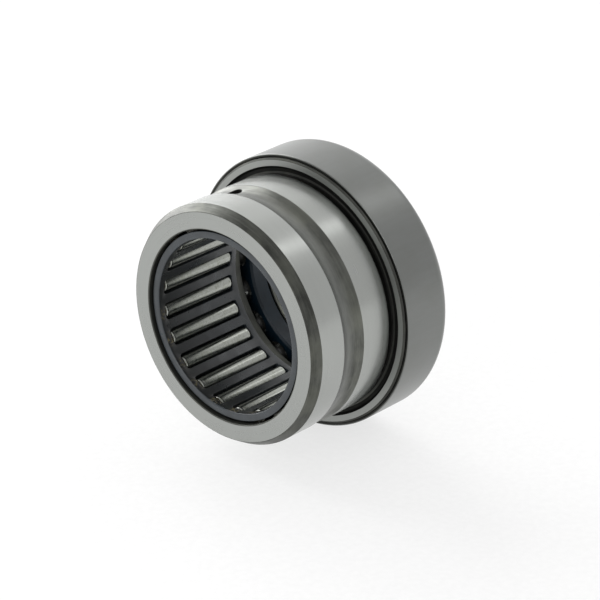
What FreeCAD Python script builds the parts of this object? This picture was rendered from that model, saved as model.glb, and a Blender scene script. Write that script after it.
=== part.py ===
import FreeCAD, Part
import math
import os

# Combined bearing: a caged row of needle rollers carries the radial load and a caged row of balls behind
# a flange carries the axial load. Millimetres, +Z up. The bearing's axis is Y: the needle end faces -Y and
# the thrust end faces +Y. The origin lies on the axis, at the middle of the lubrication groove.
# A "station" is a distance along the axis from the needle end's face.

# Driving sizes
SHAFT_DIAMETER = 30.0
HOUSING_DIAMETER = 42.0
FLANGE_DIAMETER = 47.0
CAP_DIAMETER = 48.2
OVERALL_LENGTH = 30.0
GROOVE_MIDDLE_STATION = 9.23

# Needle row
NEEDLE_COUNT = 21
NEEDLE_DIAMETER = 3.0
NEEDLE_LENGTH = 15.8
NEEDLE_END_ROUND = 0.5
NEEDLE_PITCH_RADIUS = (SHAFT_DIAMETER + NEEDLE_DIAMETER) / 2
NEEDLE_START_ANGLE = 14.6
NEEDLE_MIDDLE_STATION = 9.9
RACE_CLEARANCE = 0.02

# Outer ring: the sleeve around the needles and its flange
SLEEVE_RADIUS = HOUSING_DIAMETER / 2
RACEWAY_RADIUS = NEEDLE_PITCH_RADIUS + NEEDLE_DIAMETER / 2 + RACE_CLEARANCE
RIB_RADIUS = 16.95
FRONT_RIB_WIDTH = 1.6
REAR_RIB_STATION = 18.2
RACEWAY_CORNER_ROUND = 0.2
LEAD_IN_FACE_RADIUS = 20.0
LEAD_IN_END_STATION = 1.64
EDGE_BREAK = 0.12
RIB_EDGE_BREAK = 0.2
GROOVE_WIDTH = 4.79
GROOVE_DEPTH = 0.6
RELIEF_START_STATION = 17.73
RELIEF_FLOOR_RADIUS = 20.55
RELIEF_BACK_STATION = 19.05
RELIEF_FACE_RADIUS = 22.1
RELIEF_ROUND = 0.3
FLANGE_FACE_STATION = 18.67
FLANGE_BACK_STATION = 22.0
FLANGE_RADIUS = FLANGE_DIAMETER / 2
FLANGE_FRONT_CHAMFER = 0.3
FLANGE_BACK_CHAMFER = 0.4
OIL_HOLE_DIAMETER = 2.5
OIL_HOLE_ANGLE = 16.3

# Needle cage
CAGE_BORE_RADIUS = 15.2
CAGE_OUTER_RADIUS = 16.5
CAGE_FRONT_STATION = 0.57
CAGE_REAR_STATION = 19.2
CAGE_BORE_CHAMFER = 0.25
CAGE_EDGE_ROUND = 0.12
POCKET_LENGTH = 16.0
POCKET_WIDTH_AT_BORE = 2.88
POCKET_WIDTH_AT_PITCH = 3.06
POCKET_CORNER_ROUND = 0.55

# Thrust row
BALL_COUNT = 18
BALL_DIAMETER = 5.953
BALL_PITCH_RADIUS = 19.25
BALL_STATION = 24.3
BALL_START_ANGLE = 11.0
BALL_GROOVE_RADIUS = 3.2
BALL_CLEARANCE = 0.01
BALL_POCKET_CLEARANCE = 0.07

THRUST_CAGE_BORE_RADIUS = 15.3
THRUST_CAGE_OUTER_RADIUS = 23.0
THRUST_CAGE_FRONT_STATION = 22.95
THRUST_CAGE_REAR_STATION = 26.3
THRUST_CAGE_BORE_CHAMFER = 0.35
THRUST_CAGE_ROUND = 0.3

# Shaft washer: a hub for the shaft's shoulder and a thinner rim under the cap
WASHER_FRONT_STATION = 26.6
WASHER_RIM_STATION = 28.6
WASHER_RIM_RADIUS = 22.9
WASHER_HUB_RADIUS = 20.2
WASHER_BORE_CHAMFER = 0.4
WASHER_EDGE_CHAMFER = 0.3

# End cap, drawn from sheet
CAP_SHEET = 0.6
CAP_FRONT_STATION = 19.05
CAP_REAR_STATION = 29.5
CAP_OPENING_RADIUS = 20.6
CAP_OUTER_CORNER_ROUND = 1.9
CAP_EDGE_ROUND = 0.25

AXIS_POINT = FreeCAD.Vector(0, 0, 0)
AXIS = FreeCAD.Vector(0, 1, 0)
FULL_TURN = 360.0


def at(radius, station, angle=90.0):
    """A point at a radius and a station; angles are in degrees from +Z towards -X."""
    turn = math.radians(angle)
    return FreeCAD.Vector(-radius * math.sin(turn), station - GROOVE_MIDDLE_STATION, radius * math.cos(turn))


def rounded_corner(before, corner, after, round_radius):
    """The arc that rounds a corner between two straight runs."""
    towards_before = (before - corner).normalize()
    towards_after = (after - corner).normalize()
    half_angle = towards_before.getAngle(towards_after) / 2
    run = round_radius / math.tan(half_angle)
    bisector = (towards_before + towards_after).normalize()
    centre = corner + bisector * (round_radius / math.sin(half_angle))
    middle = centre - bisector * round_radius
    return Part.Arc(corner + towards_before * run, middle, corner + towards_after * run)


def outline(corners):
    """A closed wire from (radius, station, corner round) entries, in a half-plane through the axis."""
    points = [at(radius, station) for radius, station, _ in corners]
    edges = []
    ends = []
    for index, (_, _, round_radius) in enumerate(corners):
        point = points[index]
        if round_radius:
            arc = rounded_corner(points[index - 1], point, points[(index + 1) % len(points)], round_radius)
            ends.append((arc.StartPoint, arc.toShape(), arc.EndPoint))
        else:
            ends.append((point, None, point))
    for index, (start, arc, _) in enumerate(ends):
        if arc:
            edges.append(arc)
        leaving = ends[index][2]
        arriving = ends[(index + 1) % len(ends)][0]
        edges.append(Part.LineSegment(leaving, arriving).toShape())
    return Part.Wire(edges)


def turned(corners):
    """The solid of revolution of an outline about the bearing's axis."""
    return Part.Face(outline(corners)).revolve(AXIS_POINT, AXIS, FULL_TURN)


def ball_groove(bottom_station, side):
    """The torus that cuts a ball race whose deepest circle is at a station; side is +1 when it opens to +Y."""
    centre_station = bottom_station + side * BALL_GROOVE_RADIUS
    centre = FreeCAD.Vector(0, centre_station - GROOVE_MIDDLE_STATION, 0)
    return Part.makeTorus(BALL_PITCH_RADIUS, BALL_GROOVE_RADIUS, centre, AXIS)


def outer_ring():
    """The sleeve with its needle raceway, lubrication groove, relief, flange and ball race."""
    ring = turned([
        (RIB_RADIUS, 0.0, RIB_EDGE_BREAK),
        (LEAD_IN_FACE_RADIUS, 0.0, EDGE_BREAK),
        (SLEEVE_RADIUS, LEAD_IN_END_STATION, EDGE_BREAK),
        (SLEEVE_RADIUS, RELIEF_START_STATION, EDGE_BREAK),
        (RELIEF_FLOOR_RADIUS, RELIEF_START_STATION + SLEEVE_RADIUS - RELIEF_FLOOR_RADIUS, EDGE_BREAK),
        (RELIEF_FLOOR_RADIUS, RELIEF_BACK_STATION, RELIEF_ROUND),
        (RELIEF_FACE_RADIUS - (RELIEF_BACK_STATION - FLANGE_FACE_STATION), RELIEF_BACK_STATION, EDGE_BREAK),
        (RELIEF_FACE_RADIUS, FLANGE_FACE_STATION, EDGE_BREAK),
        (FLANGE_RADIUS - FLANGE_FRONT_CHAMFER, FLANGE_FACE_STATION, EDGE_BREAK),
        (FLANGE_RADIUS, FLANGE_FACE_STATION + FLANGE_FRONT_CHAMFER, 0),
        (FLANGE_RADIUS, FLANGE_BACK_STATION - FLANGE_BACK_CHAMFER, 0),
        (FLANGE_RADIUS - FLANGE_BACK_CHAMFER, FLANGE_BACK_STATION, 0),
        (RIB_RADIUS, FLANGE_BACK_STATION, RIB_EDGE_BREAK),
        (RIB_RADIUS, REAR_RIB_STATION, EDGE_BREAK),
        (RACEWAY_RADIUS, REAR_RIB_STATION, RACEWAY_CORNER_ROUND),
        (RACEWAY_RADIUS, FRONT_RIB_WIDTH, RACEWAY_CORNER_ROUND),
        (RIB_RADIUS, FRONT_RIB_WIDTH, EDGE_BREAK),
    ])
    race_bottom = BALL_STATION - BALL_DIAMETER / 2 - BALL_CLEARANCE
    ring = ring.cut(ball_groove(race_bottom, 1))
    ring = ring.cut(lubrication_groove())
    return ring.cut(oil_hole())


def lubrication_groove():
    """The torus that cuts the shallow groove, an arc in section, around the sleeve."""
    arc_radius = ((GROOVE_WIDTH / 2) ** 2 + GROOVE_DEPTH ** 2) / (2 * GROOVE_DEPTH)
    return Part.makeTorus(SLEEVE_RADIUS - GROOVE_DEPTH + arc_radius, arc_radius, AXIS_POINT, AXIS)


def oil_hole():
    """The radial drilling from the bottom of the lubrication groove to the needle raceway."""
    start = at(RACEWAY_RADIUS - 1.0, GROOVE_MIDDLE_STATION, OIL_HOLE_ANGLE)
    end = at(SLEEVE_RADIUS + 1.0, GROOVE_MIDDLE_STATION, OIL_HOLE_ANGLE)
    return Part.makeCylinder(OIL_HOLE_DIAMETER / 2, (end - start).Length, start, end - start)


def end_cap():
    """The drawn sheet cap, pressed on the flange and turned in behind the shaft washer's rim."""
    outer_radius = CAP_DIAMETER / 2
    inner_radius = outer_radius - CAP_SHEET
    return turned([
        (outer_radius, CAP_FRONT_STATION, CAP_EDGE_ROUND),
        (outer_radius, CAP_REAR_STATION, CAP_OUTER_CORNER_ROUND),
        (CAP_OPENING_RADIUS, CAP_REAR_STATION, CAP_EDGE_ROUND),
        (CAP_OPENING_RADIUS, CAP_REAR_STATION - CAP_SHEET, CAP_EDGE_ROUND),
        (inner_radius, CAP_REAR_STATION - CAP_SHEET, CAP_OUTER_CORNER_ROUND - CAP_SHEET),
        (inner_radius, CAP_FRONT_STATION, CAP_EDGE_ROUND),
    ])


def shaft_washer():
    """The washer that turns with the shaft: ball race in front, hub for the shaft's shoulder behind."""
    bore_radius = SHAFT_DIAMETER / 2
    washer = turned([
        (bore_radius + WASHER_BORE_CHAMFER, WASHER_FRONT_STATION, 0),
        (WASHER_RIM_RADIUS - WASHER_EDGE_CHAMFER, WASHER_FRONT_STATION, 0),
        (WASHER_RIM_RADIUS, WASHER_FRONT_STATION + WASHER_EDGE_CHAMFER, 0),
        (WASHER_RIM_RADIUS, WASHER_RIM_STATION - WASHER_EDGE_CHAMFER, 0),
        (WASHER_RIM_RADIUS - WASHER_EDGE_CHAMFER, WASHER_RIM_STATION, 0),
        (WASHER_HUB_RADIUS, WASHER_RIM_STATION, EDGE_BREAK),
        (WASHER_HUB_RADIUS, OVERALL_LENGTH - WASHER_EDGE_CHAMFER, 0),
        (WASHER_HUB_RADIUS - WASHER_EDGE_CHAMFER, OVERALL_LENGTH, 0),
        (bore_radius + WASHER_BORE_CHAMFER, OVERALL_LENGTH, 0),
        (bore_radius, OVERALL_LENGTH - WASHER_BORE_CHAMFER, 0),
        (bore_radius, WASHER_FRONT_STATION + WASHER_BORE_CHAMFER, 0),
    ])
    race_bottom = BALL_STATION + BALL_DIAMETER / 2 + BALL_CLEARANCE
    return washer.cut(ball_groove(race_bottom, -1))


def pocket_section(radius, angle):
    """A rounded rectangle facing outwards at a radius; its width grows a little with the radius."""
    widening = (POCKET_WIDTH_AT_PITCH - POCKET_WIDTH_AT_BORE) / (NEEDLE_PITCH_RADIUS - CAGE_BORE_RADIUS)
    half_width = (POCKET_WIDTH_AT_BORE + widening * (radius - CAGE_BORE_RADIUS)) / 2
    half_length = POCKET_LENGTH / 2
    centre = at(radius, NEEDLE_MIDDLE_STATION, angle)
    across = at(1.0, GROOVE_MIDDLE_STATION, angle + 90.0)
    points = [
        centre + across * (side * half_width) + AXIS * (end * half_length)
        for side, end in ((-1, -1), (1, -1), (1, 1), (-1, 1))
    ]
    arcs = [
        rounded_corner(points[index - 1], point, points[(index + 1) % 4], POCKET_CORNER_ROUND)
        for index, point in enumerate(points)
    ]
    edges = []
    for index, arc in enumerate(arcs):
        edges.append(arc.toShape())
        edges.append(Part.LineSegment(arc.EndPoint, arcs[(index + 1) % 4].StartPoint).toShape())
    return Part.Wire(edges)


def needle_pocket(angle):
    """The tool that cuts one needle's window through the cage."""
    beyond = 0.5
    inner = pocket_section(CAGE_BORE_RADIUS - beyond, angle)
    outer = pocket_section(CAGE_OUTER_RADIUS + beyond, angle)
    return Part.makeLoft([inner, outer], True, True)


def needle_angles():
    """The needles' angular places around the axis."""
    return [NEEDLE_START_ANGLE + FULL_TURN * index / NEEDLE_COUNT for index in range(NEEDLE_COUNT)]


def needle_cage():
    """A tube with one window for each needle."""
    tube = turned([
        (CAGE_BORE_RADIUS + CAGE_BORE_CHAMFER, CAGE_FRONT_STATION, 0),
        (CAGE_OUTER_RADIUS, CAGE_FRONT_STATION, CAGE_EDGE_ROUND),
        (CAGE_OUTER_RADIUS, CAGE_REAR_STATION, CAGE_EDGE_ROUND),
        (CAGE_BORE_RADIUS + CAGE_BORE_CHAMFER, CAGE_REAR_STATION, 0),
        (CAGE_BORE_RADIUS, CAGE_REAR_STATION - CAGE_BORE_CHAMFER, 0),
        (CAGE_BORE_RADIUS, CAGE_FRONT_STATION + CAGE_BORE_CHAMFER, 0),
    ])
    return tube.cut([needle_pocket(angle) for angle in needle_angles()])


def needle(angle):
    """One roller with rounded ends, parallel to the bearing's axis."""
    base = at(NEEDLE_PITCH_RADIUS, NEEDLE_MIDDLE_STATION - NEEDLE_LENGTH / 2, angle)
    roller = Part.makeCylinder(NEEDLE_DIAMETER / 2, NEEDLE_LENGTH, base, AXIS)
    rims = [edge for edge in roller.Edges if isinstance(edge.Curve, Part.Circle)]
    return roller.makeFillet(NEEDLE_END_ROUND, rims)


def ball_angles():
    """The balls' angular places around the axis."""
    return [BALL_START_ANGLE + FULL_TURN * index / BALL_COUNT for index in range(BALL_COUNT)]


def thrust_cage():
    """A flat ring with a spherical pocket around each ball; it reaches further back than forward."""
    ring = turned([
        (THRUST_CAGE_BORE_RADIUS + THRUST_CAGE_BORE_CHAMFER, THRUST_CAGE_FRONT_STATION, 0),
        (THRUST_CAGE_OUTER_RADIUS, THRUST_CAGE_FRONT_STATION, THRUST_CAGE_ROUND),
        (THRUST_CAGE_OUTER_RADIUS, THRUST_CAGE_REAR_STATION, THRUST_CAGE_ROUND),
        (THRUST_CAGE_BORE_RADIUS + THRUST_CAGE_BORE_CHAMFER, THRUST_CAGE_REAR_STATION, 0),
        (THRUST_CAGE_BORE_RADIUS, THRUST_CAGE_REAR_STATION - THRUST_CAGE_BORE_CHAMFER, 0),
        (THRUST_CAGE_BORE_RADIUS, THRUST_CAGE_FRONT_STATION + THRUST_CAGE_BORE_CHAMFER, 0),
    ])
    pocket_radius = BALL_DIAMETER / 2 + BALL_POCKET_CLEARANCE
    pockets = [
        Part.makeSphere(pocket_radius, at(BALL_PITCH_RADIUS, BALL_STATION, angle))
        for angle in ball_angles()
    ]
    return ring.cut(pockets)


def ball(angle):
    """One ball of the thrust row."""
    return Part.makeSphere(BALL_DIAMETER / 2, at(BALL_PITCH_RADIUS, BALL_STATION, angle))


def save(name, shape):
    """Checks that a piece is one sound closed solid, and writes it."""
    solid = shape.Solids[0]
    if len(shape.Solids) != 1 or not solid.isValid() or not solid.isClosed():
        raise ValueError(name + " is not one sound solid")
    solid.exportStep("parts/" + name + ".step")


def main():
    os.makedirs("parts", exist_ok=True)
    save("outer_ring", outer_ring())
    save("end_cap", end_cap())
    save("shaft_washer", shaft_washer())
    save("needle_cage", needle_cage())
    save("thrust_cage", thrust_cage())
    for number, angle in enumerate(needle_angles(), 1):
        save("needle_%02d" % number, needle(angle))
    for number, angle in enumerate(ball_angles(), 1):
        save("ball_%02d" % number, ball(angle))


main()
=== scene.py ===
import math
import random

import bmesh
import bpy
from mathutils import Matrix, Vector


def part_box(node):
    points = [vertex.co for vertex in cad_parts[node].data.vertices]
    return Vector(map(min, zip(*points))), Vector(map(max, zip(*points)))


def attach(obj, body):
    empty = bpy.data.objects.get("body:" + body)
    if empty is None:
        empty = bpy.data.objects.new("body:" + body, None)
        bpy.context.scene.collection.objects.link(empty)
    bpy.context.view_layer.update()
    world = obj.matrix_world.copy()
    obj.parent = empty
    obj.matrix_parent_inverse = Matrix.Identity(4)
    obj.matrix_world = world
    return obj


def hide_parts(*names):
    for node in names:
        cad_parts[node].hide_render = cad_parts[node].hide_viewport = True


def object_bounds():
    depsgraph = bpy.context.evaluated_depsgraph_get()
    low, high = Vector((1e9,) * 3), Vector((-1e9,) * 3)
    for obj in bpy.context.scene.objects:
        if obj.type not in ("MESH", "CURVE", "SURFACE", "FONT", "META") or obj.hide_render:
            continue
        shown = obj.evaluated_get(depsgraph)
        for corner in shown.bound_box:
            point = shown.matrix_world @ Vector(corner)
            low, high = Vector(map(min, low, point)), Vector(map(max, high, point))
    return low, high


# The looks of a combined needle roller and thrust ball bearing, built around its CAD frame. Lengths named
# here are in millimetres, and MM turns them into Blender's metres. A station is a distance along the
# bearing's axis (+Y) from the needle end's face, and angles run in degrees from +Z towards -X.

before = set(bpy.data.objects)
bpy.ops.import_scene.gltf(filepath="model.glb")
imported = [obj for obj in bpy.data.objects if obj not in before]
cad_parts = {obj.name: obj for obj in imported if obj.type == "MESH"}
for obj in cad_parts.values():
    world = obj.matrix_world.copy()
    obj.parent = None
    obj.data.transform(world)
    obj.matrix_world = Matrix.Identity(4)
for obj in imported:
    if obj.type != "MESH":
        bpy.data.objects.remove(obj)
cad_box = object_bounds()

MM = 0.001
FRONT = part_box("outer_ring")[0].y
random.seed(7)

# The break of most small edges
EDGE_BREAK = 0.12

# Outer ring
SLEEVE_RADIUS = 21.0
RIB_RADIUS = 16.95
RACEWAY_RADIUS = 18.02
FRONT_RIB_WIDTH = 1.6
REAR_RIB_STATION = 18.2
LEAD_IN_FACE_RADIUS = 20.0
LEAD_IN_END_STATION = 1.64
GROOVE_MIDDLE_STATION = 9.23
GROOVE_WIDTH = 4.79
GROOVE_DEPTH = 0.6
RELIEF_START_STATION = 17.73
RELIEF_FLOOR_RADIUS = 20.55
RELIEF_BACK_STATION = 19.05
# where the painted shade on the relief's back wall begins
RELIEF_WALL_SHADE_RADIUS = 21.15
RELIEF_FACE_RADIUS = 22.1
FLANGE_FACE_STATION = 18.67
FLANGE_BACK_STATION = 22.0
FLANGE_RADIUS = 23.5
FLANGE_FRONT_CHAMFER = 0.3
FLANGE_FRONT_EDGE_BREAK = 0.06
FLANGE_BACK_CHAMFER = 0.4
SEAT_REAR_EDGE_BREAK = 0.05
RELIEF_ROUND = 0.2
RIB_EDGE_BREAK = 0.2
RACEWAY_CORNER_ROUND = 0.2
OIL_HOLE_RADIUS = 1.25
OIL_HOLE_ANGLE = 16.3
RING_SEGMENTS = 288

# The outer ring's material slots, from the finest finish to the roughest. The last two are darkened steel
# that paints the shade in the ring's recesses, its oil hole and the gap beside the cap.
GROUND, FACE, RACEWAY, FLANGE, SCALED, LEAD_IN, GROOVE, RELIEF, PAINTED_SHADE = range(9)

# Needle cage and needles
CAGE_BORE_RADIUS = 15.2
CAGE_OUTER_RADIUS = 16.5
CAGE_FRONT_STATION = 0.57
CAGE_REAR_STATION = 19.2
CAGE_BORE_ROUND = 0.25
CAGE_PLAIN_END = 0.5
NEEDLE_COUNT = 21
NEEDLE_RADIUS = 1.5
NEEDLE_LENGTH = 15.8
NEEDLE_END_ROUND = 0.5
NEEDLE_SEGMENTS = 48
NEEDLE_PITCH_RADIUS = 16.5
NEEDLE_MIDDLE_STATION = 9.9
NEEDLE_START_ANGLE = 14.6
POCKET_LENGTH = 16.0
POCKET_WIDTH_AT_BORE = 2.88
POCKET_WIDTH_AT_PITCH = 3.06
POCKET_CORNER = 0.55
POCKET_EDGE_ROUND = 0.1

# Shaft washer, ball races and end cap
WASHER_BORE_RADIUS = 15.0
WASHER_FRONT_STATION = 26.6
WASHER_RIM_STATION = 28.6
WASHER_RIM_RADIUS = 22.9
WASHER_HUB_RADIUS = 20.2
WASHER_FRONT_BORE_ROUND = 0.7
WASHER_REAR_BORE_ROUND = 0.4
WASHER_EDGE_ROUND = 0.3
OVERALL_LENGTH = 30.0
BALL_PITCH_RADIUS = 19.25
BALL_STATION = 24.3
BALL_RADIUS = 2.9765
BALL_CLEARANCE = 0.01
BALL_GROOVE_RADIUS = 3.2
CAP_RADIUS = 24.1
CAP_SHEET = 0.6
CAP_FRONT_STATION = 19.05
CAP_REAR_STATION = 29.5
CAP_OPENING_RADIUS = 20.6
CAP_CORNER = 1.9
CAP_EDGE_ROUND = 0.25
CAP_OUTER_EDGE_ROUND = 0.13
CAP_SATIN_EDGE_WIDTH = 0.17

# Grease colours, before rgba() gives them their alpha. The first also paints shade on the needle cage, and
# the ball and needle-end coats are darkened as painted shade too.
GREASE_AND_SHADE = (0.01, 0.0095, 0.008)
GREASE_FLECK = (0.13, 0.112, 0.056)
BALL_GREASE_AND_SHADE = (0.0078, 0.008, 0.0069)
NEEDLE_END_GREASE_AND_SHADE = (0.022, 0.019, 0.010)

# Darkening on the needle cage: painted shade towards the needle end, and flecks of grease. The painted
# shade fades in ahead of the station where it is darkest. The flecks are full up to the first distance
# behind that station and gone by the second. They are gone above the first height over the bearing's axis
# and full below the second.
DARKENING_FADE = 0.3
FLECK_DISTANCES = (0.8, 2.4)
FLECK_HEIGHTS = (2.0, -6.0)

# Meshes
SAME_POINT = 1e-4
QUARTER_TURN = [math.radians(a) for a in (0, 30, 60, 90)]
SHARP_ANGLE = math.radians(38)
FLAT_FACE_WEIGHT = 80

# Camera and stage
CAMERA_AZIMUTH = 42.95
CAMERA_ELEVATION = 25.82
CAMERA_PLACE = (298.92, -302.18, 210.70)
CAMERA_LENS = 173.6
WHITE = (1.0, 1.0, 1.0)
FLOOR_DARK = (0.25, 0.25, 0.25)
FLOOR_LIGHT = (0.28, 0.28, 0.28)
FLOOR_GLOW = 0.7
FLOOR_HALF_WIDTH = 3000.0
FLOOR_GAP = 0.1
FLOOR_FIBRES_PER_METRE = 900.0
WORLD_BASE = 0.55
WORLD_SEEN = 0.97
# direction, dot product where the lobe starts, where it is full, and its strength
WORLD_LOBES = [
    ((0.0, 1.0, 0.0), 0.2, 0.7, 0.28),
    ((-0.764, 0.611, 0.204), 0.7, 0.88, 0.38),
    ((0.0, 0.64, 0.77), 0.85, 0.97, 0.2),
]


# ---------------------------------------------------------------- shapes

def spread(start, end, count):
    """count + 1 evenly spaced numbers."""
    return [start + (end - start) * n / count for n in range(count + 1)]


def rounded(corners, steps=4):
    """The points of a closed profile, with its corners rounded.

    A corner is (radius, station, round, finish) and a point is (radius, station, finish). finish is the
    material slot of the strip that leaves it. Slots run from the finest finish to the roughest, and a
    rounded edge takes the rougher one of the two strips beside it.
    """
    points = []
    for index, (radius, station, corner_round, finish) in enumerate(corners):
        corner = Vector((radius, station))
        if not corner_round:
            points.append((radius, station, finish))
            continue
        before = corners[index - 1]
        after = corners[(index + 1) % len(corners)]
        towards_before = (Vector(before[:2]) - corner).normalized()
        towards_after = (Vector(after[:2]) - corner).normalized()
        half_angle = towards_before.angle(towards_after) / 2
        bisector = (towards_before + towards_after).normalized()
        centre = corner + bisector * (corner_round / math.sin(half_angle))
        start = corner + towards_before * (corner_round / math.tan(half_angle)) - centre
        end = corner + towards_after * (corner_round / math.tan(half_angle)) - centre
        for step in range(steps + 1):
            spoke = start.slerp(end, step / steps) * corner_round
            strip = finish if step == steps else max(before[3], finish)
            points.append((centre.x + spoke.x, centre.y + spoke.y, strip))
    return points


def place(radius, station, angle):
    """A point in metres in the CAD frame."""
    turn = math.radians(angle)
    return Vector((-radius * math.sin(turn) * MM, FRONT + station * MM, radius * math.cos(turn) * MM))


class Lathe:
    """A mesh turned from a closed profile, kept as a grid so that windows can be let into it."""

    def __init__(self, points, segments, start_angle=0.0):
        self.points = points
        self.segments = segments
        self.start_angle = start_angle
        self.step = 360.0 / segments
        self.mesh = bmesh.new()
        self.grid = [
            [self.mesh.verts.new(place(radius, station, start_angle + column * self.step))
             for column in range(segments)]
            for radius, station, _ in points
        ]
        self.skipped = set()

    def row(self, radius, station):
        """The index of the profile point at a radius and a station."""
        for index, (r, s, _) in enumerate(self.points):
            if abs(r - radius) < SAME_POINT and abs(s - station) < SAME_POINT:
                return index
        raise ValueError("no profile point at %s, %s" % (radius, station))

    def quad(self, corners, finish):
        self.mesh.faces.new(corners).material_index = finish

    def surface(self, rows, station):
        """The radius of a block's surface at a station, between the two rows beside it."""
        for r, following in zip(rows, rows[1:]):
            near_radius, near_station, _ = self.points[r]
            far_radius, far_station, _ = self.points[following]
            along = (station - near_station) / (far_station - near_station)
            if 0.0 <= along <= 1.0:
                return near_radius + along * (far_radius - near_radius)
        raise ValueError("station %s is outside the block" % station)

    def border(self, rows, columns):
        """The loop of grid vertices around a block, side by side."""
        loop = [self.grid[rows[0]][c] for c in columns[:-1]]
        loop += [self.grid[r][columns[-1]] for r in rows[:-1]]
        loop += [self.grid[rows[-1]][c] for c in reversed(columns[1:])]
        loop += [self.grid[r][columns[0]] for r in reversed(rows[1:])]
        return loop

    def window(self, outer_rows, inner_rows, first_column, count, outline, edge, finishes):
        """Lets a window with rounded edges through the wall, between two blocks of the grid.

        outline(radius, widening) gives the window's loop of (across, station) points at a radius. finishes
        are the material slots of the strip outside the window, of its wall, and of the strip inside it.
        """
        columns = [(first_column + n) % self.segments for n in range(count + 1)]
        for rows in (outer_rows, inner_rows):
            self.skipped.update((r, c) for r in sorted(rows)[:-1] for c in columns[:-1])
        middle = self.start_angle + (first_column + count / 2) * self.step
        rings = [(outer_rows, -1, turn) for turn in QUARTER_TURN]
        rings += [(inner_rows, 1, turn) for turn in reversed(QUARTER_TURN)]
        loops = [self.border(outer_rows, columns)]
        for rows, side, turn in rings:
            sink = side * edge * (1 - math.cos(turn))
            nominal = self.points[rows[len(rows) // 2]][0] + sink
            loop = []
            for across, station in outline(nominal, edge * (1 - math.sin(turn))):
                radius = self.surface(rows, station) + sink
                angle = middle + math.degrees(math.asin(across / radius))
                loop.append(self.mesh.verts.new(place(radius, station, angle)))
            loops.append(loop)
        loops.append(self.border(inner_rows, columns))
        kinds = [finishes[0]] + [finishes[1]] * (len(loops) - 3) + [finishes[2]]
        for near, far, finish in zip(loops, loops[1:], kinds):
            for index in range(len(near)):
                following = (index + 1) % len(near)
                self.quad([near[index], near[following], far[following], far[index]], finish)

    def finish(self, name, materials, body, nodes, slot):
        """Turns the grid into an object that stands for CAD nodes and rides on a body."""
        for r in range(len(self.points)):
            below = (r + 1) % len(self.points)
            for c in range(self.segments):
                if (r, c) in self.skipped:
                    continue
                beside = (c + 1) % self.segments
                near = self.grid[r]
                far = self.grid[below]
                self.quad([near[c], near[beside], far[beside], far[c]], self.points[r][2])
        loose = [v for v in self.mesh.verts if not v.link_faces]
        bmesh.ops.delete(self.mesh, geom=loose, context="VERTS")
        return finish_piece(self.mesh, name, materials, body, nodes)


def smooth_mesh(mesh, name, materials):
    """A mesh data block with outward faces and smooth shading, sharp only at its real edges."""
    bmesh.ops.recalc_face_normals(mesh, faces=mesh.faces)
    data = bpy.data.meshes.new(name)
    mesh.to_mesh(data)
    mesh.free()
    for material in materials:
        data.materials.append(material)
    data.shade_smooth()
    data.set_sharp_from_angle(angle=SHARP_ANGLE)
    return data


def show(data, name):
    """An object for a mesh, with normals that keep flat faces flat beside their rounded edges."""
    piece = bpy.data.objects.new(name, data)
    bpy.context.scene.collection.objects.link(piece)
    weighted = piece.modifiers.new("flat faces stay flat", "WEIGHTED_NORMAL")
    weighted.keep_sharp = True
    weighted.weight = FLAT_FACE_WEIGHT
    return piece


def finish_piece(mesh, name, materials, body, nodes):
    """An object that stands for CAD nodes and rides on a body."""
    piece = show(smooth_mesh(mesh, name, materials), name)
    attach(piece, body)
    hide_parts(*nodes)
    return piece


# ---------------------------------------------------------------- materials

def rgba(colour, factor=1.0):
    """A colour with its alpha, made lighter or darker by a factor."""
    return tuple(channel * factor for channel in colour) + (1.0,)


class Nodes:
    """Short names for building a node tree."""

    def __init__(self, tree):
        self.tree = tree

    def add(self, kind, **settings):
        node = self.tree.nodes.new(kind)
        for key, value in settings.items():
            setattr(node, key, value)
        return node

    def link(self, source, target):
        self.tree.links.new(source, target)

    def feed(self, socket, value):
        """Links a socket to another, or sets it to a number or colour."""
        if isinstance(value, bpy.types.NodeSocket):
            self.link(value, socket)
        else:
            socket.default_value = value

    def math(self, operation, first, second=0.0):
        node = self.add("ShaderNodeMath", operation=operation)
        self.feed(node.inputs[0], first)
        self.feed(node.inputs[1], second)
        return node.outputs[0]

    def weighted(self, first, share, second):
        """The mean of two values, of which the first has a share of the weight."""
        rest = self.math("MULTIPLY", second, 1 - share)
        return self.math("ADD", self.math("MULTIPLY", first, share), rest)

    def vector(self, x, y, z):
        node = self.add("ShaderNodeCombineXYZ")
        for socket, value in zip(node.inputs, (x, y, z)):
            self.feed(socket, value)
        return node.outputs[0]

    def ramp(self, value, low, high, start=0.0, end=1.0, interpolation="LINEAR"):
        """Maps value from low..high to start..end, without going past either end."""
        node = self.add("ShaderNodeMapRange", clamp=True, interpolation_type=interpolation)
        self.feed(node.inputs["Value"], value)
        for key, number in (("From Min", low), ("From Max", high), ("To Min", start), ("To Max", end)):
            node.inputs[key].default_value = number
        return node.outputs["Result"]

    def mix(self, factor, first, second, kind="RGBA"):
        """A colour between two colours, or a number between two numbers when kind is FLOAT."""
        node = self.add("ShaderNodeMix", data_type=kind)
        self.feed(node.inputs["Factor"], factor)
        self.feed(node.inputs["A"], first)
        self.feed(node.inputs["B"], second)
        return node.outputs["Result"]

    def noise(self, vector, scale, detail=2.0, roughness=0.5, w=None):
        node = self.add("ShaderNodeTexNoise", noise_dimensions="4D" if w is not None else "3D")
        self.feed(node.inputs["Vector"], vector)
        if w is not None:
            self.feed(node.inputs["W"], w)
        node.inputs["Scale"].default_value = scale
        node.inputs["Detail"].default_value = detail
        node.inputs["Roughness"].default_value = roughness
        return node.outputs["Fac"]

    def bump(self, height, distance, strength=1.0, normal=None):
        node = self.add("ShaderNodeBump")
        node.inputs["Distance"].default_value = distance * MM
        node.inputs["Strength"].default_value = strength
        self.link(height, node.inputs["Height"])
        if normal is not None:
            self.link(normal, node.inputs["Normal"])
        return node.outputs["Normal"]


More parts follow.
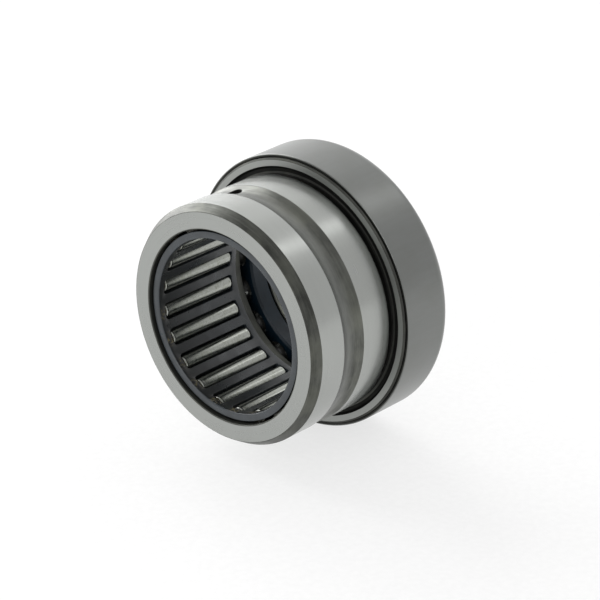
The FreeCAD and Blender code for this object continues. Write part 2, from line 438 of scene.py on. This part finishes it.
class MaterialNodes(Nodes):
    """A new material and its node tree."""

    def __init__(self, name):
        self.material = bpy.data.materials.new(name)
        self.material.use_nodes = True
        super().__init__(self.material.node_tree)
        self.shader = self.tree.nodes["Principled BSDF"]

    def set(self, name, value):
        """Links one of the shader's inputs to a socket, or sets it to a number or colour."""
        self.feed(self.shader.inputs[name], value)


class TurnedNodes(MaterialNodes):
    """A material with its object's own coordinates in millimetres, and the distance from the Y axis."""

    def __init__(self, name):
        super().__init__(name)
        millimetres = self.add("ShaderNodeVectorMath", operation="SCALE")
        self.link(self.add("ShaderNodeTexCoord").outputs["Object"], millimetres.inputs[0])
        millimetres.inputs["Scale"].default_value = 1 / MM
        self.coordinates = millimetres.outputs[0]
        split = self.add("ShaderNodeSeparateXYZ")
        self.link(self.coordinates, split.inputs[0])
        self.x, self.y, self.z = split.outputs
        squares = [self.math("MULTIPLY", side, side) for side in (self.x, self.z)]
        self.radius = self.math("SQRT", self.math("ADD", squares[0], squares[1]))

    def turning_lines(self, spacing, length, detail=3.0):
        """Noise as grinding or turning leaves it: fine across its lines, and long around the Y axis."""
        around = self.vector(self.math("DIVIDE", self.x, length), self.math("DIVIDE", self.y, spacing),
                             self.math("DIVIDE", self.z, length))
        across = self.math("DIVIDE", self.radius, spacing)
        return self.noise(around, scale=1.0, detail=detail, roughness=0.6, w=across)


def grey(level, warmth=0.0):
    """A steel's linear colour, faintly green; warmth above 0 makes it yellower."""
    return (level * 0.97, level, level * (0.96 - warmth), 1.0)


def ground_steel(name, level, roughness, warmth=0.0, stretch=0.5):
    """Bearing steel with a fine circumferential grind and faint smears of oil.

    stretch is how far the grind draws reflections out across its lines.
    """
    n = TurnedNodes(name)
    fine = n.turning_lines(spacing=0.06, length=9.0)
    broad = n.turning_lines(spacing=0.42, length=14.0, detail=2.0)
    smear = n.noise(n.coordinates, scale=0.16, detail=3.0, roughness=0.55)
    worn = n.weighted(fine, 0.6, broad)
    shade = n.mix(n.ramp(worn, 0.3, 0.7), grey(level * 0.95, warmth), grey(level * 1.04, warmth))
    shade = n.mix(n.ramp(smear, 0.35, 0.7, 0.0, 0.16), shade, grey(level * 0.82, warmth + 0.03))
    grind = n.ramp(broad, 0.3, 0.7, roughness - 0.02, roughness + 0.02)
    oil = n.ramp(smear, 0.35, 0.7, 0.02, -0.02)
    n.set("Base Color", shade)
    n.set("Roughness", n.math("ADD", grind, oil))
    n.set("Normal", n.bump(broad, distance=0.004, strength=0.25))
    n.set("Metallic", 1.0)
    n.set("Tangent", n.add("ShaderNodeTangent", direction_type="RADIAL", axis="Y").outputs[0])
    n.set("Anisotropic", stretch)
    n.set("Anisotropic Rotation", 0.25)
    return n.material


def scaled_steel(name, dark, light, roughness=0.5, painted_highlight_band=None):
    """Unground steel: the turned surface left dark and mottled by heat treatment.

    The pale band, if given, is a pair of stations: a painted highlight that keeps the surface pale up to
    the first, and is gone from the second on.
    """
    n = TurnedNodes(name)
    turning = n.turning_lines(spacing=0.16, length=6.0)
    blotch = n.turning_lines(spacing=1.7, length=4.5, detail=4.0)
    grain = n.noise(n.coordinates, scale=5.0, detail=3.0, roughness=0.6)
    temper = n.noise(n.coordinates, scale=0.13, detail=3.0, roughness=0.6)
    mottle = n.weighted(blotch, 0.65, turning)
    shade = n.mix(n.ramp(mottle, 0.38, 0.63), grey(dark, 0.05), grey(light, 0.06))
    shade = n.mix(n.ramp(grain, 0.55, 0.8, 0.0, 0.25), shade, grey(light * 1.35, 0.06))
    shade = n.mix(n.ramp(temper, 0.46, 0.62, 0.0, 0.5), shade, grey(light * 1.1, 0.12))
    if painted_highlight_band:
        pale, dull = (FRONT / MM + station for station in painted_highlight_band)
        # Painted highlight: paler towards the front of the band, where the groove catches the light.
        shade = n.mix(n.ramp(n.y, dull, pale, 0.0, 0.75), shade, grey(light * 1.6))
    rough_skin = n.bump(grain, distance=0.012, strength=0.5)
    n.set("Base Color", shade)
    n.set("Roughness", n.ramp(mottle, 0.35, 0.65, roughness + 0.06, roughness - 0.06))
    n.set("Normal", n.bump(turning, distance=0.01, strength=0.6, normal=rough_skin))
    n.set("Metallic", 0.9)
    return n.material


def drawn_steel(name, level, roughness):
    """Satin sheet steel, drawn into a cup: fine grain with faint streaks along the draw."""
    n = TurnedNodes(name)
    along_draw = n.vector(n.math("MULTIPLY", n.x, 1.1), n.math("MULTIPLY", n.y, 0.12),
                          n.math("MULTIPLY", n.z, 1.1))
    streaks = n.noise(along_draw, scale=1.0, detail=4.0, roughness=0.6)
    grain = n.noise(n.coordinates, scale=9.0, detail=2.0, roughness=0.6)
    cloud = n.noise(n.coordinates, scale=0.22, detail=3.0, roughness=0.5)
    texture = n.weighted(streaks, 0.6, grain)
    shade = n.mix(n.ramp(texture, 0.35, 0.65), grey(level * 0.97), grey(level * 1.04, -0.01))
    shade = n.mix(n.ramp(cloud, 0.4, 0.7, 0.0, 0.35), shade, grey(level * 0.88, 0.025))
    n.set("Base Color", shade)
    n.set("Roughness", n.ramp(texture, 0.3, 0.7, roughness - 0.015, roughness + 0.02))
    n.set("Normal", n.bump(grain, distance=0.006, strength=0.5))
    n.set("Metallic", 1.0)
    return n.material


def roller_steel(name, level, roughness, warmth):
    """Finely ground rollers, faintly scuffed, under a thin film of oil."""
    n = TurnedNodes(name)
    fine = n.turning_lines(spacing=0.05, length=5.0)
    film = n.noise(n.coordinates, scale=1.4, detail=4.0, roughness=0.6)
    scuffs = n.noise(n.coordinates, scale=2.4, detail=3.0, roughness=0.65)
    shade = n.mix(n.ramp(fine, 0.3, 0.7), grey(level * 0.94, warmth), grey(level * 1.05, warmth))
    shade = n.mix(n.ramp(film, 0.48, 0.68, 0.0, 0.5), shade, grey(level * 0.66, warmth + 0.1))
    shade = n.mix(n.ramp(scuffs, 0.5, 0.62, 0.0, 0.5), shade, grey(level * 0.6, warmth + 0.12))
    n.set("Base Color", shade)
    n.set("Roughness", n.ramp(film, 0.4, 0.7, roughness + 0.04, roughness - 0.04))
    n.set("Normal", n.bump(fine, distance=0.002, strength=0.4))
    n.set("Metallic", 1.0)
    return n.material


def grease_and_shade_steel(name, level, roughness, grease, patches, lumpiness):
    """Polished steel that shows only in places through a coat of grease, which is paler on its lumps.

    patches and lumpiness are how many bare patches and lumps come to a millimetre. The dark coat is
    also painted shade, standing in for the shadow the steel lies in.
    """
    n = TurnedNodes(name)
    coat = n.ramp(n.noise(n.coordinates, scale=patches, detail=3.0, roughness=0.6), 0.36, 0.44)
    lumps = n.noise(n.coordinates, scale=lumpiness, detail=3.0, roughness=0.55)
    coated = n.mix(n.ramp(lumps, 0.45, 0.62), rgba(grease), rgba(grease, 3.0))
    n.set("Base Color", n.mix(coat, grey(level), coated))
    n.set("Metallic", n.math("SUBTRACT", 1.0, coat))
    n.set("Roughness", n.ramp(coat, 0.0, 1.0, roughness, 0.3))
    n.set("Normal", n.bump(n.math("MULTIPLY", coat, lumps), distance=0.08, strength=0.6))
    return n.material


def beside_low_needles(n, shade_darkest_y):
    """A mask that is 1 beside the lower needles' near ends and 0 away from them.

    The second argument is the Y, in millimetres, where the cage's painted shade is darkest. The wave is 1
    at each needle's angle and -1 halfway between two needles.
    """
    full, gone = (shade_darkest_y + distance for distance in FLECK_DISTANCES)
    angle = n.math("ARCTAN2", n.math("MULTIPLY", n.x, -1.0), n.z)
    first_needle = math.radians(NEEDLE_START_ANGLE) * NEEDLE_COUNT
    wave = n.math("COSINE", n.math("SUBTRACT", n.math("MULTIPLY", angle, NEEDLE_COUNT), first_needle))
    beside = n.math("MULTIPLY", n.ramp(n.y, gone, full), n.ramp(wave, -0.4, 0.6))
    return n.math("MULTIPLY", n.ramp(n.z, *FLECK_HEIGHTS), beside)


def cage_plastic(name, colour, roughness, gloss, film=None):
    """Moulded dark polymer with a fine grain and faint rub marks.

    film, if given, is a pair of stations: the cage is darkened with painted shade, darkest at the first and
    gone by the second, and flecks of grease gather beside the lower needles' near ends.
    """
    n = TurnedNodes(name)
    grain = n.noise(n.coordinates, scale=7.0, detail=3.0, roughness=0.6)
    cloud = n.noise(n.coordinates, scale=0.35, detail=3.0, roughness=0.55)
    rub = n.turning_lines(spacing=0.12, length=5.0)
    shade = n.mix(n.ramp(cloud, 0.35, 0.68), rgba(colour, 0.8), rgba(colour, 1.35))
    shade = n.mix(n.ramp(rub, 0.55, 0.75, 0.0, 0.3), shade, rgba(colour, 1.7))
    surface = n.bump(grain, distance=0.01, strength=0.5)
    if film:
        # Painted shade: the cage darkens towards the needle end, for the shade inside the bore; the
        # gathered flecks are grease.
        darkest_station, thin = (FRONT / MM + station for station in film)
        below_face = n.ramp(n.y, darkest_station - DARKENING_FADE, darkest_station)
        coat = n.math("MULTIPLY", below_face, n.ramp(n.y, darkest_station, thin, 0.75, 0.0))
        shade = n.mix(coat, shade, rgba(GREASE_AND_SHADE))
        gathered = n.math("MULTIPLY", below_face, beside_low_needles(n, darkest_station))
        shade = n.mix(n.math("MULTIPLY", gathered, 0.8), shade, rgba(GREASE_AND_SHADE))
        specks = n.noise(n.coordinates, scale=2.0, detail=3.0, roughness=0.6)
        flecks = n.math("MULTIPLY", gathered, n.ramp(specks, 0.52, 0.58))
        shade = n.mix(flecks, shade, rgba(GREASE_FLECK))
        surface = n.bump(flecks, distance=0.15, strength=0.7, normal=surface)
    n.set("Base Color", shade)
    n.set("Roughness", n.ramp(cloud, 0.35, 0.65, roughness + 0.06, roughness - 0.07))
    n.set("Normal", surface)
    n.set("Specular IOR Level", gloss)
    return n.material


# ---------------------------------------------------------------- pieces

def race_arc(bottom_station, side, face_station, finish, steps=14):
    """Corners along a ball race's arc, from its outer edge inwards; side is +1 when it opens to +Y."""
    centre = bottom_station + side * BALL_GROOVE_RADIUS
    half = math.acos(abs(face_station - centre) / BALL_GROOVE_RADIUS)
    return [
        (BALL_PITCH_RADIUS + BALL_GROOVE_RADIUS * math.sin(turn),
         centre - side * BALL_GROOVE_RADIUS * math.cos(turn), 0, finish)
        for turn in spread(half, -half, steps)
    ]


def groove_radius(station):
    """The radius of the lubrication groove, an arc in section, at a station."""
    arc_radius = ((GROOVE_WIDTH / 2) ** 2 + GROOVE_DEPTH ** 2) / (2 * GROOVE_DEPTH)
    offset = station - GROOVE_MIDDLE_STATION
    return SLEEVE_RADIUS - GROOVE_DEPTH + arc_radius - math.sqrt(arc_radius ** 2 - offset ** 2)


def make_outer_ring(materials):
    """The sleeve and flange, with the oil hole let in between the groove and the raceway."""
    # the groove's rows of the grid, the rows that run on beside the hole, and the hole's columns
    groove_steps = 16
    beside_hole = 2
    hole_columns = 10
    stations = spread(GROOVE_MIDDLE_STATION - GROOVE_WIDTH / 2, GROOVE_MIDDLE_STATION + GROOVE_WIDTH / 2,
                      groove_steps)
    hole_stations = stations[beside_hole:-beside_hole]
    relief_floor_start = RELIEF_START_STATION + SLEEVE_RADIUS - RELIEF_FLOOR_RADIUS
    relief_back_radius = RELIEF_FACE_RADIUS - (RELIEF_BACK_STATION - FLANGE_FACE_STATION)
    corners = [
        (RIB_RADIUS, 0.0, RIB_EDGE_BREAK, FACE),
        (LEAD_IN_FACE_RADIUS, 0.0, EDGE_BREAK, LEAD_IN),
        (SLEEVE_RADIUS, LEAD_IN_END_STATION, EDGE_BREAK, GROUND),
    ]
    corners += [(groove_radius(station), station, 0, GROOVE) for station in stations[:-1]]
    corners += [
        (SLEEVE_RADIUS, stations[-1], 0, GROUND),
        # Painted shade: the relief's front slope, floor, upper back wall and chamfer take near-black steel
        # for the shade in the recess; only the fillet and the foot of the back wall keep the scaled steel.
        (SLEEVE_RADIUS, RELIEF_START_STATION, SEAT_REAR_EDGE_BREAK, PAINTED_SHADE),
        (RELIEF_FLOOR_RADIUS, relief_floor_start, EDGE_BREAK, PAINTED_SHADE),
        (RELIEF_FLOOR_RADIUS, RELIEF_BACK_STATION, RELIEF_ROUND, SCALED),
        (RELIEF_WALL_SHADE_RADIUS, RELIEF_BACK_STATION, 0, PAINTED_SHADE),
        (relief_back_radius, RELIEF_BACK_STATION, EDGE_BREAK, PAINTED_SHADE),
        (RELIEF_FACE_RADIUS, FLANGE_FACE_STATION, EDGE_BREAK, FLANGE),
        # Painted shade: the flange's front chamfer takes the dark relief steel, and its seat under the cap
        # near-black steel, for the shade in the gap beside the cap.
        (FLANGE_RADIUS - FLANGE_FRONT_CHAMFER, FLANGE_FACE_STATION, FLANGE_FRONT_EDGE_BREAK, RELIEF),
        (FLANGE_RADIUS, FLANGE_FACE_STATION + FLANGE_FRONT_CHAMFER, 0, PAINTED_SHADE),
        (FLANGE_RADIUS, FLANGE_BACK_STATION - FLANGE_BACK_CHAMFER, 0, SCALED),
        (FLANGE_RADIUS - FLANGE_BACK_CHAMFER, FLANGE_BACK_STATION, 0, SCALED),
    ]
    corners += race_arc(BALL_STATION - BALL_RADIUS - BALL_CLEARANCE, 1, FLANGE_BACK_STATION, RACEWAY)
    corners += [
        (RIB_RADIUS, FLANGE_BACK_STATION, RIB_EDGE_BREAK, SCALED),
        (RIB_RADIUS, REAR_RIB_STATION, EDGE_BREAK, SCALED),
        (RACEWAY_RADIUS, REAR_RIB_STATION, RACEWAY_CORNER_ROUND, RACEWAY),
    ]
    corners += [(RACEWAY_RADIUS, station, 0, RACEWAY) for station in reversed(hole_stations)]
    corners += [
        (RACEWAY_RADIUS, FRONT_RIB_WIDTH, RACEWAY_CORNER_ROUND, RACEWAY),
        (RIB_RADIUS, FRONT_RIB_WIDTH, EDGE_BREAK, SCALED),
    ]
    step = 360.0 / RING_SEGMENTS
    lathe = Lathe(rounded(corners), RING_SEGMENTS, OIL_HOLE_ANGLE % step)
    sides = (hole_columns, len(hole_stations) - 1) * 2

    def hole(_, widening):
        size = OIL_HOLE_RADIUS + widening
        loop = []
        for quarter, count in enumerate(sides):
            for turn in spread(-135 + 90 * quarter, -45 + 90 * quarter, count)[:-1]:
                angle = math.radians(turn)
                loop.append((size * math.cos(angle), GROOVE_MIDDLE_STATION + size * math.sin(angle)))
        return loop

    # The hole's wall takes near-black steel as painted shade.
    lathe.window(
        [lathe.row(groove_radius(station), station) for station in hole_stations],
        [lathe.row(RACEWAY_RADIUS, station) for station in hole_stations],
        int(OIL_HOLE_ANGLE / step) - hole_columns // 2, hole_columns, hole, EDGE_BREAK,
        (GROOVE, PAINTED_SHADE, RACEWAY),
    )
    return lathe.finish("bearing_ring", materials, "housing_side", ["outer_ring"], "ring_steel")


def make_end_cap(materials):
    """The sheet cap around the flange, turned in behind the washer's rim."""
    # The front lip and the rear opening's edge are sheared steel, darkened as painted shade for the gap
    # beside the flange.
    satin, sheared_and_shaded = range(2)
    inner = CAP_RADIUS - CAP_SHEET
    corners = [
        (CAP_RADIUS - CAP_SATIN_EDGE_WIDTH, CAP_FRONT_STATION, 0, satin),
        (CAP_RADIUS, CAP_FRONT_STATION, CAP_OUTER_EDGE_ROUND, satin),
        (CAP_RADIUS, CAP_REAR_STATION, CAP_CORNER, satin),
        (CAP_OPENING_RADIUS, CAP_REAR_STATION, CAP_EDGE_ROUND, sheared_and_shaded),
        (CAP_OPENING_RADIUS, CAP_REAR_STATION - CAP_SHEET, CAP_EDGE_ROUND, satin),
        (inner, CAP_REAR_STATION - CAP_SHEET, CAP_CORNER - CAP_SHEET, satin),
        (inner, CAP_FRONT_STATION, CAP_EDGE_ROUND, sheared_and_shaded),
    ]
    lathe = Lathe(rounded(corners, steps=8), RING_SEGMENTS)
    return lathe.finish("sheet_cap", materials, "housing_side", ["end_cap"], "cap_steel")


def make_washer(materials):
    """The shaft washer, with its ball race in front and its hub behind."""
    ground, race, turned = range(3)
    arc = race_arc(BALL_STATION + BALL_RADIUS + BALL_CLEARANCE, -1, WASHER_FRONT_STATION, race)
    corners = [
        (WASHER_BORE_RADIUS, WASHER_FRONT_STATION, WASHER_FRONT_BORE_ROUND, turned),
        *reversed(arc),
        (WASHER_RIM_RADIUS, WASHER_FRONT_STATION, WASHER_EDGE_ROUND, turned),
        (WASHER_RIM_RADIUS, WASHER_RIM_STATION, WASHER_EDGE_ROUND, turned),
        (WASHER_HUB_RADIUS, WASHER_RIM_STATION, EDGE_BREAK, turned),
        (WASHER_HUB_RADIUS, OVERALL_LENGTH, WASHER_EDGE_ROUND, ground),
        (WASHER_BORE_RADIUS, OVERALL_LENGTH, WASHER_REAR_BORE_ROUND, ground),
    ]
    lathe = Lathe(rounded(corners), RING_SEGMENTS)
    return lathe.finish("thrust_washer", materials, "shaft_washer", ["shaft_washer"], "washer_steel")


def rounded_rectangle(half_width, half_length, corner, side, arc_steps):
    """A loop of points round a rectangle with rounded corners.

    Each side has side steps, and runs from halfway round one corner to halfway round the next.
    """
    across = half_width - corner
    along = half_length - corner
    corners = [(-across, -along), (across, -along), (across, along), (-across, along)]
    centres = [Vector(point) for point in corners]
    straight = side - 2 * arc_steps
    loop = []
    for quarter, first in enumerate(centres):
        second = centres[(quarter + 1) % len(centres)]
        outward = -90 + 90 * quarter

        def spoke(turn):
            angle = math.radians(outward + turn)
            return corner * Vector((math.cos(angle), math.sin(angle)))

        loop += [first + spoke(turn) for turn in spread(-45, 0, arc_steps)[:-1]]
        loop += [first.lerp(second, step / straight) + spoke(0) for step in range(straight + 1)]
        loop += [second + spoke(turn) for turn in spread(0, 45, arc_steps)[1:-1]]
    return loop


def make_needle_cage(materials):
    """The tube with one rounded window for each needle."""
    side = 12
    arc_steps = 3
    stations = spread(CAGE_FRONT_STATION + CAGE_PLAIN_END, CAGE_REAR_STATION - CAGE_PLAIN_END, side)
    corners = [
        (CAGE_BORE_RADIUS, CAGE_FRONT_STATION, CAGE_BORE_ROUND, 0),
        (CAGE_OUTER_RADIUS, CAGE_FRONT_STATION, EDGE_BREAK, 0),
    ]
    corners += [(CAGE_OUTER_RADIUS, station, 0, 0) for station in stations]
    corners += [
        (CAGE_OUTER_RADIUS, CAGE_REAR_STATION, EDGE_BREAK, 0),
        (CAGE_BORE_RADIUS, CAGE_REAR_STATION, CAGE_BORE_ROUND, 0),
    ]
    corners += [(CAGE_BORE_RADIUS, station, 0, 0) for station in reversed(stations)]
    sector = 360.0 / NEEDLE_COUNT
    lathe = Lathe(rounded(corners), NEEDLE_COUNT * side, NEEDLE_START_ANGLE - sector / 2)
    taper = (POCKET_WIDTH_AT_PITCH - POCKET_WIDTH_AT_BORE) / (NEEDLE_PITCH_RADIUS - CAGE_BORE_RADIUS)

    def pocket(radius, widening):
        half_width = (POCKET_WIDTH_AT_BORE + taper * (radius - CAGE_BORE_RADIUS)) / 2 + widening
        half_length = POCKET_LENGTH / 2 + widening
        loop = rounded_rectangle(half_width, half_length, POCKET_CORNER + widening, side, arc_steps)
        return [(point.x, NEEDLE_MIDDLE_STATION + point.y) for point in loop]

    outer_rows = [lathe.row(CAGE_OUTER_RADIUS, station) for station in stations]
    inner_rows = [lathe.row(CAGE_BORE_RADIUS, station) for station in stations]
    for number in range(NEEDLE_COUNT):
        lathe.window(outer_rows, inner_rows, number * side, side, pocket, POCKET_EDGE_ROUND, (0, 0, 0))
    return lathe.finish("roller_cage", materials, "needle_cage", ["needle_cage"], "needle_cage_polymer")


def needle_profile():
    """A roller's (radius, place along its axis) points: two rounded ends and the barrel between them."""
    round_centre = NEEDLE_LENGTH / 2 - NEEDLE_END_ROUND
    near_end = [(0.0, -NEEDLE_LENGTH / 2)]
    for turn in spread(0, math.pi / 2, 6):
        near_end.append((NEEDLE_RADIUS - NEEDLE_END_ROUND + NEEDLE_END_ROUND * math.sin(turn),
                         -round_centre - NEEDLE_END_ROUND * math.cos(turn)))
    barrel = [(NEEDLE_RADIUS, along) for along in spread(-round_centre, round_centre, 6)[1:-1]]
    far_end = [(radius, -along) for radius, along in reversed(near_end)]
    return near_end + barrel + far_end


def make_roller_mesh(materials):
    """A roller about its own axis, with the second material on the strips nearest to each end."""
    # The end strips take the second material: grease, darkened further as painted shade over the ends'
    # glints.
    grease_and_shade_strips = 4
    mesh = bmesh.new()
    rings = []
    for radius, along in needle_profile():
        spokes = NEEDLE_SEGMENTS if radius else 1
        turns = [2 * math.pi * n / NEEDLE_SEGMENTS for n in range(spokes)]
        rings.append([
            mesh.verts.new((radius * MM * math.sin(turn), along * MM, radius * MM * math.cos(turn)))
            for turn in turns
        ])
    for strip, (near, far) in enumerate(zip(rings, rings[1:])):
        from_end = min(strip, len(rings) - 2 - strip)
        for n in range(NEEDLE_SEGMENTS):
            m = (n + 1) % NEEDLE_SEGMENTS
            corners = [near[n % len(near)], near[m % len(near)], far[m % len(far)], far[n % len(far)]]
            face = mesh.faces.new(list(dict.fromkeys(corners)))
            face.material_index = 1 if from_end < grease_and_shade_strips else 0
    return smooth_mesh(mesh, "roller", materials)


def make_needles(materials):
    """One roller mesh, shown once for each needle node and turned a little differently each time."""
    data = make_roller_mesh(materials)
    for number in range(NEEDLE_COUNT):
        node = "needle_%02d" % (number + 1)
        piece = show(data, "roller_%02d" % (number + 1))
        angle = NEEDLE_START_ANGLE + 360.0 * number / NEEDLE_COUNT
        piece.location = place(NEEDLE_PITCH_RADIUS, NEEDLE_MIDDLE_STATION, angle)
        piece.rotation_euler = (0, random.uniform(0, 2 * math.pi), 0)
        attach(piece, node)
        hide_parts(node)


def dress_node(node, material):
    """Gives a CAD node's own object a material."""
    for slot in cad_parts[node].material_slots:
        slot.material = material


# ---------------------------------------------------------------- stage

def make_floor():
    """A plain pale floor under the bearing, lit a little from below as a light table is."""
    low = cad_box[0][2] - FLOOR_GAP * MM
    far = FLOOR_HALF_WIDTH * MM
    corners = [(-far, -far, low), (far, -far, low), (far, far, low), (-far, far, low)]
    mesh = bpy.data.meshes.new("floor")
    mesh.from_pydata(corners, [], [(0, 1, 2, 3)])
    floor = bpy.data.objects.new("floor", mesh)
    bpy.context.scene.collection.objects.link(floor)
    n = MaterialNodes("floor_paper")
    metres = n.add("ShaderNodeTexCoord").outputs["Object"]
    fibre = n.noise(metres, scale=FLOOR_FIBRES_PER_METRE, detail=3.0)
    n.set("Base Color", n.mix(n.ramp(fibre, 0.3, 0.7), rgba(FLOOR_DARK), rgba(FLOOR_LIGHT)))
    n.set("Roughness", 0.9)
    n.set("Emission Color", rgba(WHITE))
    n.set("Emission Strength", FLOOR_GLOW)
    mesh.materials.append(n.material)


def make_world():
    """Soft studio surroundings, palest behind, to the left and above, and dimmer on the near side.

    Seen directly they are a plain white backdrop.
    """
    world = bpy.data.worlds.new("studio")
    bpy.context.scene.world = world
    world.use_nodes = True
    n = Nodes(world.node_tree)
    direction = n.add("ShaderNodeTexCoord").outputs["Generated"]
    brightness = WORLD_BASE
    for towards, start, full, strength in WORLD_LOBES:
        dot = n.add("ShaderNodeVectorMath", operation="DOT_PRODUCT")
        n.link(direction, dot.inputs[0])
        dot.inputs[1].default_value = Vector(towards).normalized()
        lobe = n.ramp(dot.outputs["Value"], start, full, 0.0, strength, interpolation="SMOOTHSTEP")
        brightness = n.math("ADD", brightness, lobe)
    seen_directly = n.add("ShaderNodeLightPath").outputs["Is Camera Ray"]
    background = n.tree.nodes["Background"]
    background.inputs["Color"].default_value = rgba(WHITE)
    n.link(n.mix(seen_directly, brightness, WORLD_SEEN, kind="FLOAT"), background.inputs["Strength"])


def make_light(name, towards, distance, width, height, radiance):
    """A soft box that faces the bearing from a direction; distance, width and height are in metres."""
    lamp = bpy.data.lights.new(name, "AREA")
    lamp.shape = "RECTANGLE"
    lamp.size = width
    lamp.size_y = height
    lamp.energy = radiance * math.pi * width * height
    light = bpy.data.objects.new(name, lamp)
    bpy.context.scene.collection.objects.link(light)
    away = Vector(towards).normalized()
    light.location = away * distance
    light.rotation_euler = away.to_track_quat("Z", "Y").to_euler()


def make_camera():
    """A long-lens camera; CAMERA_PLACE is counted from the middle of the needle end's face."""
    azimuth = math.radians(CAMERA_AZIMUTH)
    elevation = math.radians(CAMERA_ELEVATION)
    away = Vector((math.sin(azimuth) * math.cos(elevation), -math.cos(azimuth) * math.cos(elevation),
                   math.sin(elevation)))
    data = bpy.data.cameras.new("camera")
    data.lens = CAMERA_LENS
    camera = bpy.data.objects.new("camera", data)
    bpy.context.scene.collection.objects.link(camera)
    camera.location = Vector(CAMERA_PLACE) * MM + Vector((0, FRONT, 0))
    camera.rotation_euler = away.to_track_quat("Z", "Y").to_euler()
    bpy.context.scene.camera = camera


# ---------------------------------------------------------------- the bearing on its stage

ring_materials = {
    GROUND: ground_steel("ground_steel", level=0.39, roughness=0.24),
    FACE: ground_steel("ground_face_steel", level=0.372, roughness=0.28, stretch=0.0),
    RACEWAY: ground_steel("raceway_steel", level=0.36, roughness=0.26, warmth=0.04),
    FLANGE: ground_steel("flange_face_steel", level=0.33, roughness=0.38, stretch=0.0),
    SCALED: scaled_steel("heat_dark_steel", dark=0.07, light=0.12),
    LEAD_IN: scaled_steel("lead_in_steel", dark=0.045, light=0.12, roughness=0.38),
    # The groove's pale band at its front is a painted highlight.
    GROOVE: scaled_steel("groove_steel", dark=0.075, light=0.155, roughness=0.36, painted_highlight_band=(7.2, 10.2)),
    # These last two are steel darkened as painted shade in the recesses and gaps.
    RELIEF: scaled_steel("relief_steel", dark=0.04, light=0.07, roughness=0.55),
    PAINTED_SHADE: scaled_steel("painted_recess_shade_steel", dark=0.006, light=0.02, roughness=0.6),
}
cap_satin = drawn_steel("satin_sheet_steel", level=0.2, roughness=0.3)
# Sheared edges, darkened as painted shade in the gap beside the flange.
sheared_edge_and_shade = scaled_steel("sheared_edge_painted_shade", dark=0.025, light=0.05, roughness=0.55)
washer_ground = ground_steel("washer_steel", level=0.42, roughness=0.28, warmth=0.03)
washer_turned = scaled_steel("washer_turned_steel", dark=0.16, light=0.26, roughness=0.62)
roller = roller_steel("roller_steel", level=0.38, roughness=0.2, warmth=0.025)
# The needle ends' grease is darkened further as painted shade.
roller_end = grease_and_shade_steel("roller_end_grease_and_painted_shade", level=0.2, roughness=0.25, grease=NEEDLE_END_GREASE_AND_SHADE,
                           patches=2.0, lumpiness=4.0)
# The balls' dark grease coat also paints the shade of the gap they sit in.
ball = grease_and_shade_steel("ball_grease_and_painted_shade", level=0.5, roughness=0.1, grease=BALL_GREASE_AND_SHADE,
                     patches=0.8, lumpiness=2.6)
# film paints shade on the cage, darkest near its needle end.
needle_cage_polymer = cage_plastic("needle_cage_polymer", colour=(0.022, 0.028, 0.033), roughness=0.32,
                                   gloss=0.65, film=(0.95, 13.0))
# Dark polymer, made near black as painted shade for the deep gap it sits in.
thrust_cage_polymer = cage_plastic("thrust_cage_polymer", colour=(0.004, 0.012, 0.02), roughness=0.36,
                                   gloss=0.27)

make_outer_ring([ring_materials[slot] for slot in sorted(ring_materials)])
make_end_cap([cap_satin, sheared_edge_and_shade])
make_washer([washer_ground, ring_materials[RACEWAY], washer_turned])
make_needle_cage([needle_cage_polymer])
make_needles([roller, roller_end])
dress_node("thrust_cage", thrust_cage_polymer)
for node in sorted(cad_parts):
    if node.startswith("ball_"):
        dress_node(node, ball)

make_floor()
make_world()
make_light("key", towards=(-0.93, 0.1, 0.36), distance=1.0, width=1.0, height=1.0, radiance=3.8)
make_light("front_fill", towards=(0.1, -0.94, 0.36), distance=1.2, width=0.8, height=0.8, radiance=2.2)
make_light("strip", towards=(0.174, 0.659, 0.731), distance=1.2, width=0.18, height=0.35, radiance=0.95)
make_camera()
bpy.context.scene.view_settings.view_transform = "Standard"
